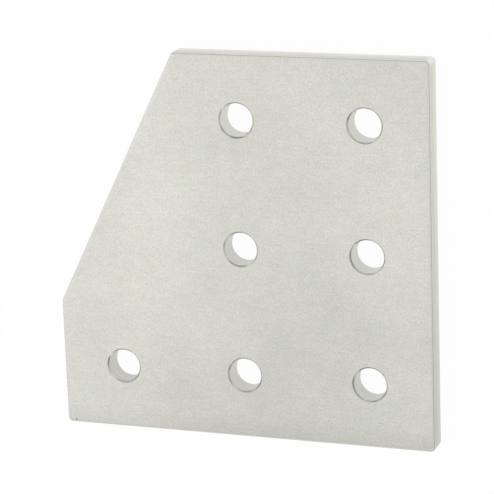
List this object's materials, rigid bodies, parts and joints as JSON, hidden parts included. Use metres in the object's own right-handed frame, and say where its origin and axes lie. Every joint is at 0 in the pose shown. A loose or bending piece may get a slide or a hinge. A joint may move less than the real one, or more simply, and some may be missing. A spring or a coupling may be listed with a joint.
{
  "type": "extrusion joining plate",
  "caption": "Flat aluminium plate with a slanted corner and a grid of bolt holes, for joining slotted framing at a right angle.",
  "frame": {"origin": "centre of the plate's 76.2 mm square, on its back face, which is the axis of the middle hole of the grid", "axes": "+X along the bottom row of three holes, away from the cut corner; +Y up the columns of holes; +Z out of the front face"},
  "size_m": [0.0762, 0.0762, 0.0048],
  "materials": {
    "anodised_aluminium": "clear anodised, satin, over a faint mill grain"
  },
  "bodies": {
    "root": {"joining_plate": "anodised_aluminium"}
  },
  "joints": []
}
